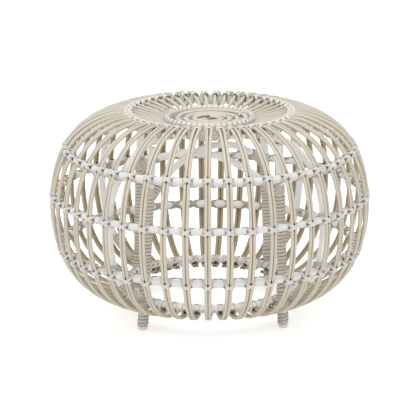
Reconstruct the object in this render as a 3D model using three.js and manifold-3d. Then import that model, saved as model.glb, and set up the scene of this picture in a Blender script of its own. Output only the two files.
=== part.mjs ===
// Round footstool for a porch or patio: an open cage of paired canes bent over five rings,
// a coiled seat, two crossed hoops under the dome and two arched leg frames on glides.
// Millimetres, +Z up, the floor at z = 0 and the seat's axis on Z. Azimuth 0 faces -Y.
import * as THREE from "three";
import { mergeVertices } from "three/addons/utils/BufferGeometryUtils.js";
import Module from "manifold-3d";

const wasm = await Module();
wasm.setup();

// Driving sizes of the whole
const bodyRadius = 276; // outer face of the canes at the belly
const bodyHeight = 356.5; // outer face of the canes over the top ring
const seatDip = 9.2; // top of the seat coil's rim below the canes' top
const gap = 0.3; // clearance between pieces that are lashed together

// Driving sizes of the tubes and canes
const caneDiameter = 5.6;
const ringTubeDiameter = 14;
const bellyTubeDiameter = 12;
const hoopTubeDiameter = 12;
const archTubeDiameter = 12;
const coilCaneDiameter = 7;
const legTubeDiameter = 14;
const legWrapDiameter = 17.5; // over the cord that is wound round each leg
const footWrapDiameter = 19.5; // over the second layer of cord under the cage

// Counts
const caneCount = 47;
const coilTurns = 4;
const ringSides = 6;
const hoopSides = 6;
const archSides = 8;
const legSides = 12;
const coilSides = 6;
const hoopSteps = 44;
const archSteps = 14;
const stepsPerTurn = 24;

// Seat coil
const rimRadius = 74; // outermost turn, which lies on the ends of the spokes
const eyeRadius = 16.4; // innermost turn
const coilSinkDepth = 3.5; // inner turns below the rim
const rimTurnShare = 0.8; // part of the first turn that keeps the rim's radius
const rimExitWidth = 8; // how far the first turn has come in when it meets its own start

// Leg frames: each has two opposite legs and the arch between them
const legTopRadius = 156;
const legWrapShare = 0.659; // height of the winding's upper end, as a share of the body's height
const archFootShare = 0.64; // height of the arches' feet, as a share of the body's height
const archClearance = 24; // from the dome hoops' crown down to the upper arch
const footWrapGap = 1.2; // from the canes down to the second layer of cord
const partingGap = 0.5; // between a leg and the cane pairs that part round it
const wrapStep = 2; // height over which the winding tapers to the bare tube

// Glide in each foot
const glideHeight = 6.7;
const glideFaceRadius = 6.6;
const glideShoulderRadius = 8.1;
const glideEdge = 1.6;
const stemRadius = 4.6;
const stemLength = 13;
const boreRadius = 4.9;

// Outer face of the canes from the cut end inside the base ring to the top ring,
// as shares of the body's radius and height
const profileShares = [
  [0.48, 0.0955],
  [0.5375, 0.0915],
  [0.623, 0.0932],
  [0.792, 0.149],
  [0.896, 0.2309],
  [0.9583, 0.3296],
  [0.9982, 0.4712],
  [1, 0.5989],
  [0.9638, 0.7475],
  [0.9167, 0.8283],
  [0.837, 0.906],
  [0.71, 0.97],
  [0.5109, 1],
];

// Rings and the stations of the profile that they lie at
const rings = [
  { name: "base_ring", stationIndex: 1, diameter: ringTubeDiameter },
  { name: "lower_ring", stationIndex: 5, diameter: ringTubeDiameter },
  { name: "belly_ring", stationIndex: 7, diameter: bellyTubeDiameter },
  { name: "shoulder_ring", stationIndex: 9, diameter: ringTubeDiameter },
  { name: "top_ring", stationIndex: 12, diameter: ringTubeDiameter },
];
const hoopStartIndex = 3; // first station that a dome hoop follows
const hoopTurnIndices = [7, 11]; // stations between which a hoop turns towards its leg's top
const grooveShare = 0.4; // depth of the waist between two canes, as a share of a cane's radius
const partingShares = [0.7, 1, 1]; // how far canes part round a leg, from the first station on
const spokeTaperShare = 0.1; // part of the spoke in which the second cane of a pair ends
const hoopLiftShare = 0.17; // height of the hoops' low ends, as a share of the body's height

// Azimuths in degrees of each leg at the base ring and at its top, and of the hoop outside it
const legFrames = [
  {
    name: "leg_frame_left",
    places: [
      { leg: "front_left", ring: -42, top: -37, hoop: -40.8 },
      { leg: "back_right", ring: 140.4, top: 143, hoop: 139.6 },
    ],
  },
  {
    name: "leg_frame_right",
    places: [
      { leg: "front_right", ring: 49.7, top: 49, hoop: 49.5 },
      { leg: "back_left", ring: 231.8, top: 232, hoop: 231.5 },
    ],
  },
];

// Sizes that follow from the ones above
const caneRadius = caneDiameter / 2;
const hoopRadius = hoopTubeDiameter / 2;
const archRadius = archTubeDiameter / 2;
const coilRadius = coilCaneDiameter / 2;
const legTubeRadius = legTubeDiameter / 2;
const legWrapRadius = legWrapDiameter / 2;
const footWrapRadius = footWrapDiameter / 2;
const pitch = (2 * Math.PI) / caneCount;
const rimHeight = bodyHeight - seatDip - coilRadius;
const spokeFaceHeight = rimHeight - coilRadius - gap;
const spokeEndRadius = rimRadius - coilRadius;
const legClearance = legWrapRadius + partingGap + 2 * caneRadius;

// Materials
function paint(color, roughness, metalness = 0) {
  return new THREE.MeshStandardMaterial({ color, roughness, metalness });
}
const canePaint = () => paint(0xd8cfbe, 0.55);
const ringPaint = () => paint(0xe8e8e5, 0.5);
const cordPaint = () => paint(0xb9b0a4, 0.8);
const glidePaint = () => paint(0xdcdad2, 0.6);

const group = new THREE.Group();

function addPart(name, geometry, material) {
  const mesh = new THREE.Mesh(geometry, material);
  mesh.name = name;
  group.add(mesh);
  return mesh;
}

// A point at a radius, a height and an azimuth
function place(radius, height, azimuth) {
  return new THREE.Vector3(
    radius * Math.sin(azimuth),
    -radius * Math.cos(azimuth),
    height,
  );
}

// Outer face of the cane, with the spoke that runs on to the seat coil's rim
const profilePoints = profileShares.map(
  ([r, z]) => new THREE.Vector2(r * bodyRadius, z * bodyHeight),
);
const topStation = profilePoints.length - 1;
const spokeStart = profilePoints[topStation];
const spokeSlope =
  (spokeStart.y - spokeFaceHeight) / (spokeStart.x - rimRadius);
const spokeEnd = new THREE.Vector2(
  spokeEndRadius,
  spokeFaceHeight - (rimRadius - spokeEndRadius) * spokeSlope,
);
profilePoints.push(
  spokeStart.clone().lerp(spokeEnd, spokeTaperShare),
  spokeEnd,
);

// The profile's outward normal at a station: it halves the bend between its neighbours
function outward(station) {
  const here = profilePoints[station];
  const before = profilePoints[Math.max(station - 1, 0)];
  const after = profilePoints[Math.min(station + 1, profilePoints.length - 1)];
  const into = here.clone().sub(before).normalize();
  const onward = after.clone().sub(here).normalize();
  const along = into.add(onward).normalize();
  return new THREE.Vector2(along.y, -along.x);
}

// The profile moved inwards by a depth, at a station
function inset(station, depth) {
  return profilePoints[station].clone().addScaledVector(outward(station), -depth);
}

// A ring's centre in the profile, inside the canes
function ringCentre({ stationIndex, diameter }) {
  return inset(stationIndex, caneDiameter + gap + diameter / 2);
}

const hoopDepth = caneDiameter + gap + ringTubeDiameter + gap + hoopRadius;
const baseRing = ringCentre(rings[0]);

// Leg axes: outside the base ring where they pass it, and under a dome hoop at the top
const hoopOverLeg = [
  inset(topStation - 1, hoopDepth),
  inset(topStation, hoopDepth),
];
const hoopFall =
  (hoopOverLeg[1].y - hoopOverLeg[0].y) / (hoopOverLeg[0].x - hoopOverLeg[1].x);
const legTopHeight =
  hoopOverLeg[1].y -
  (legTopRadius + legTubeRadius - hoopOverLeg[1].x) * hoopFall -
  hoopRadius * Math.hypot(1, hoopFall) -
  gap;
const legRingRadius = baseRing.x + ringTubeDiameter / 2 + gap + legWrapRadius;

function legAxis(ringAzimuth, topAzimuth) {
  const low = place(legRingRadius, baseRing.y, ringAzimuth);
  const high = place(legTopRadius, legTopHeight, topAzimuth);
  const perHeight = high.clone().sub(low).divideScalar(high.z - low.z);
  return (height) => low.clone().addScaledVector(perHeight, height - low.z);
}

const frames = legFrames.map(({ name, places }) => ({
  name,
  legs: places.map(({ leg, ring, top, hoop }) => {
    const [azimuth, topAzimuth, hoopAzimuth] = [ring, top, hoop].map(
      THREE.MathUtils.degToRad,
    );
    return {
      name: leg,
      azimuth,
      topAzimuth,
      hoopAzimuth,
      axis: legAxis(azimuth, topAzimuth),
    };
  }),
}));
const legs = frames.flatMap((frame) => frame.legs);

// A closed solid through sections that have the same number of points
function loft(sections) {
  const sides = sections[0].length;
  const points = sections.flat();
  const faces = [];
  for (let i = 0; i + 1 < sections.length; i++)
    for (let j = 0; j < sides; j++) {
      const a = i * sides + j;
      const b = i * sides + ((j + 1) % sides);
      faces.push(b, a, a + sides, b + sides, b, a + sides);
    }
  for (const [ring, turn] of [
    [0, -1],
    [sections.length - 1, 1],
  ]) {
    const middle = new THREE.Vector3();
    sections[ring].forEach((p) => middle.add(p));
    points.push(middle.divideScalar(sides));
    const hub = points.length - 1;
    for (let j = 0; j < sides; j++) {
      const a = ring * sides + j;
      const b = ring * sides + ((j + 1) % sides);
      faces.push(...(turn > 0 ? [b, a, hub] : [a, b, hub]));
    }
  }
  const geometry = new THREE.BufferGeometry().setFromPoints(points);
  geometry.setIndex(faces);
  return geometry;
}

// Cross-section of two canes side by side, as shares of a cane's radius
const pairSectionShares = [
  [2, 0],
  [1, 1],
  [0, grooveShare],
  [-1, 1],
  [-2, 0],
  [-1, -1],
  [0, -grooveShare],
  [1, -1],
];
// One cane: the second of the pair, or the spoke, which moves to the middle by the rim
function spokeSectionShares(offset) {
  return pairSectionShares.map((_, i) => {
    const angle = (i / pairSectionShares.length) * 2 * Math.PI;
    return [Math.cos(angle) + offset, Math.sin(angle)];
  });
}

// Pairs part where they pass a leg, and their neighbours give way
function caneAzimuth(index, radius, station) {
  const azimuth = index * pitch;
  const parting = legClearance * (partingShares[station] ?? 0);
  let shift = 0;
  for (const leg of legs) {
    const turned = azimuth - leg.azimuth + Math.PI;
    const arc = (THREE.MathUtils.euclideanModulo(turned, 2 * Math.PI) - Math.PI) * radius;
    const side = arc < 0 ? -1 : 1;
    shift += side * Math.hypot(arc, parting) - arc;
  }
  return azimuth + shift / radius;
}

function canePair(index) {
  const last = profilePoints.length - 1;
  return loft(
    profilePoints.map((_, station) => {
      const middle = inset(station, caneRadius);
      const normal = outward(station);
      const azimuth = caneAzimuth(index, middle.x, station);
      const centre = place(middle.x, middle.y, azimuth);
      const across = new THREE.Vector3(Math.cos(azimuth), Math.sin(azimuth), 0);
      const out = place(normal.x, normal.y, azimuth);
      const shares =
        station <= topStation
          ? pairSectionShares
          : spokeSectionShares((last - station) / (last - topStation));
      return shares.map(([u, v]) =>
        centre
          .clone()
          .addScaledVector(across, u * caneRadius)
          .addScaledVector(out, v * caneRadius),
      );
    }),
  );
}

// Rings inside the canes: a corner of the tube faces the canes, and one lies under each pair
function ringTube(ring) {
  const middle = ringCentre(ring);
  const normal = outward(ring.stationIndex);
  const section = [];
  for (let i = 0; i <= ringSides; i++) {
    const angle = -(i % ringSides) * ((2 * Math.PI) / ringSides);
    const corner = normal.clone().rotateAround(new THREE.Vector2(), angle);
    section.push(corner.multiplyScalar(ring.diameter / 2).add(middle));
  }
  return new THREE.LatheGeometry(section.reverse(), caneCount).rotateX(Math.PI / 2);
}

function circle(radius, sides) {
  const shape = new THREE.Shape();
  for (let i = 0; i < sides; i++) {
    const angle = ((i + 1 / 2) / sides) * 2 * Math.PI;
    const x = radius * Math.cos(angle);
    const y = radius * Math.sin(angle);
    if (i === 0) shape.moveTo(x, y);
    else shape.lineTo(x, y);
  }
  shape.closePath();
  return shape;
}

function tube(path, radius, sides, steps) {
  return new THREE.ExtrudeGeometry(circle(radius, sides), {
    steps,
    bevelEnabled: false,
    extrudePath: path,
  });
}

// Seat coil: the rim's turn first, then a steady spiral down to the eye
const coilStart = rimRadius - rimExitWidth;
const spiralPitch = (coilStart - eyeRadius) / (coilTurns - 1 / 2);
const coilLength = coilTurns + 1 / 2; // in turns
class SeatCoil extends THREE.Curve {
  getPoint(share, target = new THREE.Vector3()) {
    const turn = share * coilLength;
    const exit = THREE.MathUtils.smoothstep(turn, rimTurnShare, 1);
    const radius =
      turn < 1 ? rimRadius - rimExitWidth * exit : coilStart - (turn - 1) * spiralPitch;
    const sunk = 1 - THREE.MathUtils.smoothstep(radius, coilStart - spiralPitch, coilStart);
    const point = place(radius, rimHeight - coilSinkDepth * sunk, turn * 2 * Math.PI);
    return target.copy(point);
  }
}
const coilPath = new SeatCoil();

// Least gap between turns, on points of the path at least half a turn apart
function leastSelfGap(path, turns, radius) {
  const points = path.getPoints(Math.round(turns * stepsPerTurn));
  const half = stepsPerTurn / 2;
  let least = Infinity;
  for (let i = 0; i < points.length; i++)
    for (let j = i + half; j < points.length; j++)
      least = Math.min(least, points[i].distanceTo(points[j]));
  return least - 2 * radius;
}
console.log(
  "seat coil: least gap to itself " +
    leastSelfGap(coilPath, coilLength, coilRadius).toFixed(2) +
    " mm",
);

// Half a dome hoop: from a leg's outer side up inside the rings to the seat coil's rim
const underSpoke = spokeEnd.y - caneDiameter - gap - hoopRadius;
function hoopHalf({ axis, hoopAzimuth, topAzimuth }) {
  const low = axis(hoopLiftShare * bodyHeight);
  const away = low.clone().setZ(0).normalize();
  const start = legWrapRadius + gap;
  const half = [start, start + hoopTubeDiameter].map((reach) =>
    low.clone().addScaledVector(away, reach),
  );
  for (let station = hoopStartIndex; station <= topStation; station++) {
    const middle = inset(station, hoopDepth);
    const turn = THREE.MathUtils.smoothstep(station, ...hoopTurnIndices);
    const azimuth = THREE.MathUtils.lerp(hoopAzimuth, topAzimuth, turn);
    half.push(place(middle.x, middle.y, azimuth));
  }
  half.push(place(rimRadius, underSpoke, topAzimuth));
  return half;
}

// A dome hoop: over the crown from one leg to the opposite one
function domeHoop([leg, opposite]) {
  const crown = new THREE.Vector3(0, 0, underSpoke);
  return new THREE.CatmullRomCurve3(
    [...hoopHalf(leg), crown, ...hoopHalf(opposite).reverse()],
    false,
    "centripetal",
  );
}

// The arch between two legs, an arc of a circle that stands on the chord between its feet
class Arch extends THREE.Curve {
  constructor(foot, otherFoot, crownHeight) {
    super();
    const half = foot.distanceTo(otherFoot) / 2;
    const rise = crownHeight - foot.z;
    this.along = otherFoot.clone().sub(foot).normalize();
    this.centre = foot.clone().add(otherFoot).divideScalar(2);
    this.radius = (half * half + rise * rise) / (2 * rise);
    this.centre.z += rise - this.radius;
    this.spread = Math.asin(half / this.radius);
  }
  getPoint(share, target = new THREE.Vector3()) {
    const angle = (2 * share - 1) * this.spread;
    target.copy(this.centre).addScaledVector(this.along, this.radius * Math.sin(angle));
    target.z += this.radius * Math.cos(angle);
    return target;
  }
}

// A turned form that leans with the leg: each level is moved sideways and stays flat
function leaning(outline, axis) {
  const geometry = new THREE.LatheGeometry(
    outline.map(([r, z]) => new THREE.Vector2(r, z)),
    legSides,
  );
  geometry.rotateX(Math.PI / 2);
  const foot = axis(0);
  const lean = axis(1).sub(foot);
  const shear = new THREE.Matrix4().makeShear(0, 0, 0, 0, lean.x, lean.y);
  geometry.applyMatrix4(shear);
  geometry.translate(foot.x, foot.y, 0);
  return geometry;
}

function legTube(axis) {
  const start = glideHeight + gap;
  const boreTop = glideHeight + stemLength + gap;
  const footWrapTop = profilePoints[rings[0].stationIndex].y - footWrapGap;
  const legWrapTop = legWrapShare * bodyHeight;
  return leaning(
    [
      [0, boreTop],
      [boreRadius, boreTop],
      [boreRadius, start],
      [footWrapRadius, start],
      [footWrapRadius, footWrapTop - wrapStep],
      [legWrapRadius, footWrapTop],
      [legWrapRadius, legWrapTop],
      [legTubeRadius, legWrapTop + wrapStep],
      [legTubeRadius, legTopHeight],
      [0, legTopHeight],
    ],
    axis,
  );
}

// Foot glide: a rounded cap under the tube with a stem inside it
function footGlide(axis) {
  return leaning(
    [
      [0, 0],
      [glideFaceRadius, 0],
      [glideShoulderRadius, glideEdge],
      [glideShoulderRadius, glideHeight],
      [stemRadius, glideHeight],
      [stemRadius, glideHeight + stemLength],
      [0, glideHeight + stemLength],
    ],
    axis,
  );
}

// Joining solids
function toSolid(geometry) {
  const bare = geometry.clone();
  bare.deleteAttribute("normal");
  bare.deleteAttribute("uv");
  const merged = mergeVertices(bare);
  return new wasm.Manifold(
    new wasm.Mesh({
      numProp: 3,
      vertProperties: merged.attributes.position.array,
      triVerts: new Uint32Array(merged.index.array),
    }),
  );
}

function joined(geometries) {
  const whole = geometries.map(toSolid).reduce((a, b) => a.add(b));
  const mesh = whole.getMesh();
  const geometry = new THREE.BufferGeometry();
  geometry.setAttribute(
    "position",
    new THREE.BufferAttribute(mesh.vertProperties, 3),
  );
  geometry.setIndex(new THREE.BufferAttribute(mesh.triVerts, 1));
  return geometry;
}

// Assembly: cane pairs
for (let i = 0; i < caneCount; i++) {
  const name = "cane_pair_" + String(i + 1).padStart(2, "0");
  addPart(name, canePair(i), canePaint());
}

// Assembly: rings
for (const ring of rings) addPart(ring.name, ringTube(ring), ringPaint());

// Assembly: seat coil
addPart(
  "seat_coil",
  tube(coilPath, coilRadius, coilSides, Math.round(coilLength * stepsPerTurn)),
  canePaint(),
);

// Assembly: dome hoops, welded where they cross
const hoopTubes = frames.map((frame) =>
  tube(domeHoop(frame.legs), hoopRadius, hoopSides, hoopSteps),
);
addPart("dome_hoops", joined(hoopTubes), ringPaint());

// Assembly: leg frames, the second arch passing under the first
const archCrown = underSpoke - hoopRadius - archClearance - archRadius;
frames.forEach((frame, i) => {
  const feet = frame.legs.map(({ axis }) => axis(archFootShare * bodyHeight));
  const path = new Arch(...feet, archCrown - i * (archTubeDiameter + gap));
  const arch = tube(path, archRadius, archSides, archSteps);
  const tubes = frame.legs.map(({ axis }) => legTube(axis));
  addPart(frame.name, joined([...tubes, arch]), cordPaint());
});

// Assembly: glides
for (const leg of legs)
  addPart("foot_glide_" + leg.name, footGlide(leg.axis), glidePaint());

export default group;
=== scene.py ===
import math
import random

import bmesh
import bpy
from mathutils import Matrix, Vector


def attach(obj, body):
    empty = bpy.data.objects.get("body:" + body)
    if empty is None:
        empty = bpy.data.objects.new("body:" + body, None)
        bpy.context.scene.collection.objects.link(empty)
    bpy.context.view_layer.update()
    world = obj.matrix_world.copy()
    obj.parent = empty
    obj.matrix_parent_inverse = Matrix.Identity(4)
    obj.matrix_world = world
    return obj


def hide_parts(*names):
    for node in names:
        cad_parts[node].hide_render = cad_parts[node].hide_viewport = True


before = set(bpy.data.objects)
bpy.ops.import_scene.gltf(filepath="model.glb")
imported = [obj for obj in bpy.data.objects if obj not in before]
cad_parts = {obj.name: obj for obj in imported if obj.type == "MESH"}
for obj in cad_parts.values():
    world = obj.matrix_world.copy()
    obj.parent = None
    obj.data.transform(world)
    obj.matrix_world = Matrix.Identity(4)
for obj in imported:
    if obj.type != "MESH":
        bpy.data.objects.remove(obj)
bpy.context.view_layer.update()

# The footstool is modelled in millimetres, azimuth 0 facing -Y, and scaled to metres
# when a piece is finished.
mm = 0.001
random.seed(47)


# sRGB hex to linear colour
def linear(hexText):
    channels = [int(hexText[i : i + 2], 16) / 255 for i in (1, 3, 5)]
    return (
        *(c / 12.92 if c <= 0.04045 else ((c + 0.055) / 1.055) ** 2.4 for c in channels),
        1.0,
    )


# One node with its settings, and values, nodes or outputs for its sockets, in order or by name
def addNode(tree, kind, settings, *feeds, **named):
    node = tree.nodes.new("ShaderNode" + kind)
    for name, value in settings.items():
        setattr(node, name, value)
    fed = [*zip(node.inputs, feeds), *((node.inputs[n], v) for n, v in named.items())]
    for socket, value in fed:
        if isinstance(value, bpy.types.Node):
            value = value.outputs[0]
        if isinstance(value, bpy.types.NodeSocket):
            tree.links.new(value, socket)
        else:
            socket.default_value = value
    return node


# An empty material with its shader and output
def newFinish(name, **shaderValues):
    finish = bpy.data.materials.new(name)
    finish.use_nodes = True
    tree = finish.node_tree
    tree.nodes.clear()
    shader = addNode(tree, "BsdfPrincipled", {})
    for socket, value in shaderValues.items():
        shader.inputs[socket.replace("_", " ")].default_value = value
    addNode(tree, "OutputMaterial", {}, shader)
    return finish, tree, shader


# Links a finish's colour, roughness and bump to its shader
def feedShader(tree, shader, coat, gloss, bump):
    for socket, node in (("Base Color", coat), ("Roughness", gloss), ("Normal", bump)):
        tree.links.new(node.outputs[0], shader.inputs[socket])


smooth = {"interpolation_type": "SMOOTHSTEP"}
times = {"operation": "MULTIPLY"}
absolute = {"operation": "ABSOLUTE"}
larger = {"operation": "MAXIMUM"}
strip = {"attribute_name": "grain"}  # across, outwards and along a swept piece, in mm
shadeMaskAttribute = {"attribute_name": "shadeMask"}  # where painted shade goes, near lashings and pairs and behind rings, 0 to 1


# Noise drawn out along a swept piece, across and along it in mm
def streaks(tree, across, along, detail=3.0):
    line = addNode(tree, "Attribute", strip).outputs["Vector"]
    scaled = addNode(tree, "Mapping", {}, line, Scale=(1 / across, 1 / across, 1 / along))
    return addNode(tree, "TexNoise", {}, scaled, Scale=1.0, Detail=detail, Roughness=0.55)


# Noise in space, for pieces whose pattern has no direction
def speckle(tree, size, detail=2.0):
    spot = addNode(tree, "TexCoord", {}).outputs["Object"]
    return addNode(tree, "TexNoise", {}, spot, Scale=1 / (size * mm), Detail=detail)


# Ivory powder-coated aluminium tube, brushed by hand with a thin brown antique wash: satin,
# lengthwise streaks, a darker groove in each pair, partly the wash and partly painted shade,
# the inner side darker as painted shade, and near-black painted shade in the groove where a
# lashing grips.
def powderCoatedCane(name, light, mid, washAndShade, inner, lashShade, innerFrom):
    finish, tree, shader = newFinish(name, IOR=1.5)
    fine = streaks(tree, across=1.1, along=38)
    broad = streaks(tree, across=40, along=70, detail=1.0)
    where = addNode(tree, "SeparateXYZ", {}, addNode(tree, "Attribute", strip).outputs["Vector"])
    shadeMask = addNode(tree, "Attribute", shadeMaskAttribute).outputs["Fac"]
    streaky = addNode(tree, "MapRange", smooth, fine, 0.3, 0.7)
    coat = addNode(tree, "MixRGB", {}, streaky, linear(light), linear(mid))
    patchy = addNode(tree, "MapRange", smooth, broad, 0.35, 0.75, 0.0, 0.35)
    coat = addNode(tree, "MixRGB", {}, patchy, coat, linear(mid))
    # painted shade: the inner side of each cane, or the underside of the coil, darker
    inside = addNode(tree, "MapRange", smooth, where.outputs[1], innerFrom, -1.9, 0.0, 0.85)
    coat = addNode(tree, "MixRGB", {}, inside, coat, linear(inner))
    # the groove between the two canes: partly antique wash, partly painted shade
    groove = addNode(tree, "MapRange", smooth, where.outputs[0], 1.6, 2.9, 0.0, 0.9)
    coat = addNode(tree, "MixRGB", {}, groove, coat, linear(washAndShade))
    # near-black painted shade in the groove beside each lashing
    deep = addNode(tree, "MapRange", smooth, where.outputs[0], 0.7, 2.2)
    gripped = addNode(tree, "MapRange", smooth, shadeMask, 0.36, 0.5)
    lashShaded = addNode(tree, "Math", times, deep, gripped)
    coat = addNode(tree, "MixRGB", {}, lashShaded, coat, linear(lashShade))
    gloss = addNode(tree, "MapRange", smooth, fine, 0.2, 0.8, 0.42, 0.6)
    bump = addNode(tree, "Bump", {}, Height=fine.outputs[0], Distance=0.12 * mm, Strength=0.35)
    feedShader(tree, shader, coat, gloss, bump)
    return finish


# White powder-coated aluminium tube: smooth satin, with faint orange peel of about 2 mm,
# darker on the outside as painted shade and lighter on the inside as painted light, and with
# near-black painted shade in the crevices where a pair is lashed to it
def powderCoatedTube(name, light, shade, paintedShadeTone, creaseShade):
    finish, tree, shader = newFinish(name, IOR=1.5)
    peel = speckle(tree, 2.2)
    cloudy = addNode(tree, "MapRange", smooth, speckle(tree, 26), 0.3, 0.75)
    coat = addNode(tree, "MixRGB", {}, cloudy, linear(light), linear(shade))
    where = addNode(tree, "SeparateXYZ", {}, addNode(tree, "Attribute", strip).outputs["Vector"])
    shadeMask = addNode(tree, "Attribute", shadeMaskAttribute).outputs["Fac"]
    # painted shade: the outside darker and the inside lighter
    paintedShadeShare = addNode(tree, "MapRange", smooth, where.outputs[1], -1.0, 4.0)
    coat = addNode(tree, "MixRGB", {}, paintedShadeShare, coat, linear(paintedShadeTone))
    # near-black painted shade in the crevices beside each lashed pair
    outside = addNode(tree, "MapRange", smooth, where.outputs[1], 0.0, 2.0)
    beside = addNode(tree, "MapRange", smooth, shadeMask, 0.43, 0.53, 0.0, 0.62)
    creaseShaded = addNode(tree, "Math", times, outside, beside)
    coat = addNode(tree, "MixRGB", {}, creaseShaded, coat, linear(creaseShade))
    gloss = addNode(tree, "MapRange", smooth, peel, 0.3, 0.7, 0.42, 0.55)
    bump = addNode(tree, "Bump", {}, Height=peel.outputs[0], Distance=0.12 * mm, Strength=0.3)
    feedShader(tree, shader, coat, gloss, bump)
    return finish


# Extruded polyethylene strand, flat or round, wound tight: soft gloss, fine draw lines
# along it, painted shade along its edges, from one distance off its middle to another, and
# darker as painted shade where it crosses over a pair or runs behind a ring
def polyethyleneStrand(name, light, shade, paintedShadeTone, creaseShade, edge, creaseShadeStrength, gloss, fibre):
    finish, tree, shader = newFinish(name, IOR=1.51)
    shadeMask = addNode(tree, "Attribute", shadeMaskAttribute).outputs["Fac"]
    lines = streaks(tree, across=fibre, along=20)
    broad = streaks(tree, across=60, along=160, detail=1.0)
    where = addNode(tree, "SeparateXYZ", {}, addNode(tree, "Attribute", strip).outputs["Vector"])
    lined = addNode(tree, "MapRange", smooth, lines, 0.35, 0.7)
    coat = addNode(tree, "MixRGB", {}, lined, linear(light), linear(shade))
    patchy = addNode(tree, "MapRange", smooth, broad, 0.35, 0.75, 0.0, 0.4)
    coat = addNode(tree, "MixRGB", {}, patchy, coat, linear(shade))
    offMiddle = addNode(tree, "Math", absolute, where.outputs[0])
    # painted shade where the strand runs behind a ring, and a little where it crosses over a pair
    behind = addNode(tree, "MapRange", smooth, shadeMask, 0.6, 0.9, 0.0, 0.7)
    over = addNode(tree, "MapRange", smooth, shadeMask, 0.05, 0.25, 0.2, 0.0)
    paintedShadeShare = addNode(tree, "Math", larger, behind, over)
    coat = addNode(tree, "MixRGB", {}, paintedShadeShare, coat, linear(paintedShadeTone))
    # painted shade along the strand's edges, in the creases between strands and turns
    creaseShaded = addNode(tree, "MapRange", smooth, shadeMask, 0.1, 0.5, 0.4 * creaseShadeStrength, creaseShadeStrength)
    offMiddle = addNode(tree, "MapRange", smooth, offMiddle, *edge)
    edged = addNode(tree, "Math", times, offMiddle, creaseShaded)
    coat = addNode(tree, "MixRGB", {}, edged, coat, linear(creaseShade))
    rough = addNode(tree, "MapRange", smooth, lines, 0.2, 0.8, gloss, gloss + 0.15)
    bump = addNode(tree, "Bump", {}, Height=lines.outputs[0], Distance=0.15 * mm, Strength=0.4)
    feedShader(tree, shader, coat, rough, bump)
    return finish


# Moulded polyamide glide: satin off-white, scuffed by the floor in spots of about 1.5 mm
def mouldedPolyamide(name, light, scuffed):
    finish, tree, shader = newFinish(name, IOR=1.53)
    scuffs = speckle(tree, 1.5, 4.0)
    worn = addNode(tree, "MapRange", smooth, scuffs, 0.5, 0.75, 0.0, 0.7)
    coat = addNode(tree, "MixRGB", {}, worn, linear(light), linear(scuffed))
    gloss = addNode(tree, "MapRange", smooth, scuffs, 0.3, 0.7, 0.4, 0.62)
    bump = addNode(tree, "Bump", {}, Height=scuffs.outputs[0], Distance=0.1 * mm, Strength=0.3)
    feedShader(tree, shader, coat, gloss, bump)
    return finish


# Bare inside of a cut aluminium tube: dull grey, dark because little light gets in
def bareTubeInside(name, colour, deep):
    finish, tree, shader = newFinish(name, Metallic=0.3, Roughness=0.8)
    coat = addNode(tree, "MixRGB", {}, speckle(tree, 0.8), linear(colour), linear(deep))
    tree.links.new(coat.outputs[0], shader.inputs["Base Color"])
    return finish


# the groove colour is partly antique wash and partly painted shade; the inner-side and
# lashing-groove colours are painted shade
caneFinish = powderCoatedCane(
    "ivory powder coated cane tube", light="#C9C3B6", mid="#BCB3A3", washAndShade="#7A5836",
    inner="#BAA98A", lashShade="#2B2118", innerFrom=0.6,
)
# the inner colour is painted shade on the coil's underside
coilFinish = powderCoatedCane(
    "ivory powder coated coil tube", light="#D0CABE", mid="#C2B9A9", washAndShade="#A08862",
    inner="#5C4B36", lashShade="#2B2118", innerFrom=0.9,
)
# the darker outer tone and the near-black crevice colour are painted shade
ringFinish = powderCoatedTube(
    "white powder coated ring tube", light="#FAFAF8", shade="#F1F1EE", paintedShadeTone="#D5D6D4",
    creaseShade="#1C150F",
)
# the same powder coat as the rings, with almost no darker outer tone: painted light for the hoops
# inside the cage
hoopFinish = powderCoatedTube(
    "white powder coated hoop tube", light="#FAFAF8", shade="#F2F2EF", paintedShadeTone="#F6F6F4",
    creaseShade="#1C150F",
)
# in each strand finish the edge colour and the darker tone are painted shade
strandFinish = polyethyleneStrand(
    "white polyethylene flat strand", light="#D3D2CE", shade="#C7C5C0", paintedShadeTone="#B2A99B",
    creaseShade="#554A3D", edge=(2.1, 3.0), creaseShadeStrength=1.0, gloss=0.38, fibre=0.9,
)
# the lighter colours of this strand are painted light, for the base ring low in the body's shade
baseStrandFinish = polyethyleneStrand(
    "white polyethylene narrow strand", light="#F3F2EF", shade="#E6E4DF", paintedShadeTone="#E6E4DF",
    creaseShade="#5F5344", edge=(1.4, 2.2), creaseShadeStrength=1.2, gloss=0.38, fibre=0.9,
)
topStrandFinish = polyethyleneStrand(
    "white polyethylene wide strand", light="#D6D4CE", shade="#C8C5BC", paintedShadeTone="#C4BFB4",
    creaseShade="#4A4036", edge=(2.9, 3.8), creaseShadeStrength=1.0, gloss=0.38, fibre=0.9,
)
rimFinish = polyethyleneStrand(
    "white polyethylene rim strand", light="#DCDAD4", shade="#CFCCC4", paintedShadeTone="#D2CFC7",
    creaseShade="#4A4036", edge=(2.8, 3.8), creaseShadeStrength=1.3, gloss=0.38, fibre=0.7,
)
# the edge colour is painted shade in the creases between the cord's turns
cordFinish = polyethyleneStrand(
    "grey polyethylene round cord", light="#E5DFD5", shade="#D3CBC0", paintedShadeTone="#B4AEA3",
    creaseShade="#4A4036", edge=(1.7, 3.1), creaseShadeStrength=1.6, gloss=0.6, fibre=0.7,
)
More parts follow.
